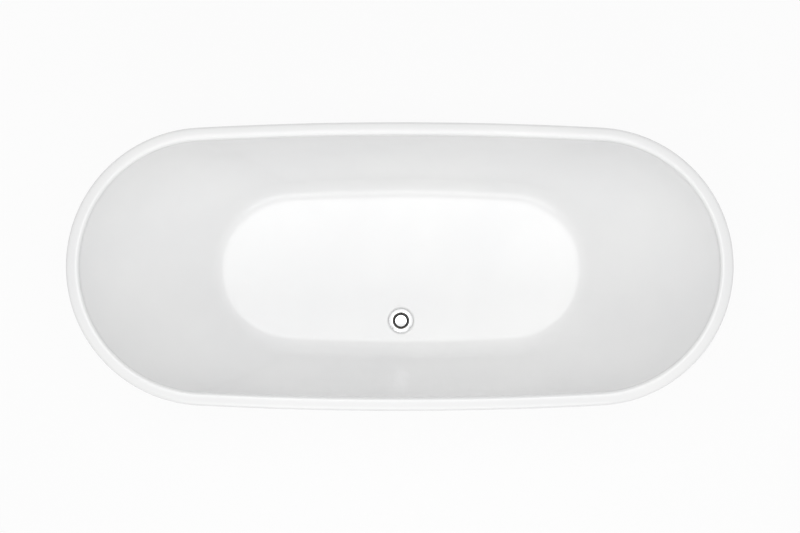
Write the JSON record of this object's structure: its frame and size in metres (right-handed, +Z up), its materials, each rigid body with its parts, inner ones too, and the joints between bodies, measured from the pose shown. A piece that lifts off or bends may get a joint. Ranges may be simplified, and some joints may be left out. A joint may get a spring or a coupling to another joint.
{
  "type": "bathtub",
  "caption": "Freestanding double-ended oval sit-in bathtub with a rolled rim, sloping walls, a flat floor with a push-plug waste beside one long wall, an outer skirt and a levelling frame.",
  "frame": {"origin": "on the room's floor under the middle of the bath, in the plane of the feet", "axes": "+X along the bath's length, +Y across it away from the waste, +Z up"},
  "size_m": [1.6998, 0.7346, 0.58],
  "materials": {
    "white_acrylic": "smooth high-gloss sanitary acrylic",
    "fibreglass": "rough sprayed glass-fibre laminate",
    "adhesive": "cured adhesive bead",
    "plywood": "plywood faces with layered edges",
    "timber": "sawn softwood",
    "galvanised_steel": "galvanised tube and strip",
    "zinc_steel": "zinc-plated fasteners",
    "chrome": "polished chrome plate",
    "black_rubber": "black sealing rubber",
    "black_plastic": "black moulded plastic",
    "white_plastic": "white moulded plastic",
    "brass": "machined brass",
    "spring_steel": "drawn spring wire"
  },
  "bodies": {
    "tub": {"basin_shell": "white_acrylic", "skirt_shell": "white_acrylic", "basin_fibreglass": "fibreglass", "skirt_fibreglass": "fibreglass", "rim_adhesive": "adhesive", "base_board": "plywood", "front_rail": "galvanised_steel", "back_rail": "galvanised_steel", "head_cross_bar": "galvanised_steel", "foot_cross_bar": "galvanised_steel", "centre_cross_bar": "galvanised_steel", "tube_end_caps": "black_plastic", "board_screws": "zinc_steel", "skirt_brackets": "galvanised_steel", "block_screws": "zinc_steel", "bar_screws": "zinc_steel", "weld_nuts": "zinc_steel", "lock_nuts": "zinc_steel", "waste_body": "chrome", "flange_seal": "black_rubber", "back_gasket": "black_rubber", "friction_washer": "white_plastic", "back_nut": "brass", "plug_cartridge": "white_plastic", "plug_spring": "spring_steel", "skirt_block_1": "timber", "skirt_block_2": "timber", "skirt_block_3": "timber", "skirt_block_4": "timber"},
    "plug": {"plug_cap": "chrome", "plug_seal": "black_rubber", "plug_stem": "brass"},
    "foot_pad_1": {"foot_pad_1": "black_plastic"},
    "foot_bolt_1": {"foot_bolt_1": "zinc_steel"},
    "foot_pad_2": {"foot_pad_2": "black_plastic"},
    "foot_bolt_2": {"foot_bolt_2": "zinc_steel"},
    "foot_pad_3": {"foot_pad_3": "black_plastic"},
    "foot_bolt_3": {"foot_bolt_3": "zinc_steel"},
    "foot_pad_4": {"foot_pad_4": "black_plastic"},
    "foot_bolt_4": {"foot_bolt_4": "zinc_steel"},
    "foot_pad_5": {"foot_pad_5": "black_plastic"},
    "foot_bolt_5": {"foot_bolt_5": "zinc_steel"}
  },
  "joints": [
    {"name": "plug_push", "type": "slide", "parent": "tub", "child": "plug", "axis": [0, 0, -1], "range_m": [0, 0.008], "stiffness_N_per_m": 400, "springref_m": -0.004, "deforming": ["plug_spring"]},
    {"name": "foot_lift_1", "type": "slide", "parent": "tub", "child": "foot_pad_1", "axis": [0, 0, -1], "range_m": [-0.01, 0.025]},
    {"name": "foot_turn_1", "type": "hinge", "parent": "foot_pad_1", "child": "foot_bolt_1", "pos_m": [-0.4, -0.20975, 0.05], "axis": [0, 0, -1], "range_deg": [-2058.1, 5143.9]},
    {"name": "foot_lift_2", "type": "slide", "parent": "tub", "child": "foot_pad_2", "axis": [0, 0, -1], "range_m": [-0.01, 0.025]},
    {"name": "foot_turn_2", "type": "hinge", "parent": "foot_pad_2", "child": "foot_bolt_2", "pos_m": [-0.4, 0.20975, 0.05], "axis": [0, 0, -1], "range_deg": [-2058.1, 5143.9]},
    {"name": "foot_lift_3", "type": "slide", "parent": "tub", "child": "foot_pad_3", "axis": [0, 0, -1], "range_m": [-0.01, 0.025]},
    {"name": "foot_turn_3", "type": "hinge", "parent": "foot_pad_3", "child": "foot_bolt_3", "pos_m": [0.4, -0.20975, 0.05], "axis": [0, 0, -1], "range_deg": [-2058.1, 5143.9]},
    {"name": "foot_lift_4", "type": "slide", "parent": "tub", "child": "foot_pad_4", "axis": [0, 0, -1], "range_m": [-0.01, 0.025]},
    {"name": "foot_turn_4", "type": "hinge", "parent": "foot_pad_4", "child": "foot_bolt_4", "pos_m": [0.4, 0.20975, 0.05], "axis": [0, 0, -1], "range_deg": [-2058.1, 5143.9]},
    {"name": "foot_lift_5", "type": "slide", "parent": "tub", "child": "foot_pad_5", "axis": [0, 0, -1], "range_m": [-0.01, 0.025]},
    {"name": "foot_turn_5", "type": "hinge", "parent": "foot_pad_5", "child": "foot_bolt_5", "pos_m": [0, 0, 0.05], "axis": [0, 0, -1], "range_deg": [-2058.1, 5143.9]}
  ],
  "couplings": [
    {"joint": "foot_turn_1", "follows": "foot_lift_1", "rad_per_m": 3590.4},
    {"joint": "foot_turn_2", "follows": "foot_lift_2", "rad_per_m": 3590.4},
    {"joint": "foot_turn_3", "follows": "foot_lift_3", "rad_per_m": 3590.4},
    {"joint": "foot_turn_4", "follows": "foot_lift_4", "rad_per_m": 3590.4},
    {"joint": "foot_turn_5", "follows": "foot_lift_5", "rad_per_m": 3590.4}
  ]
}
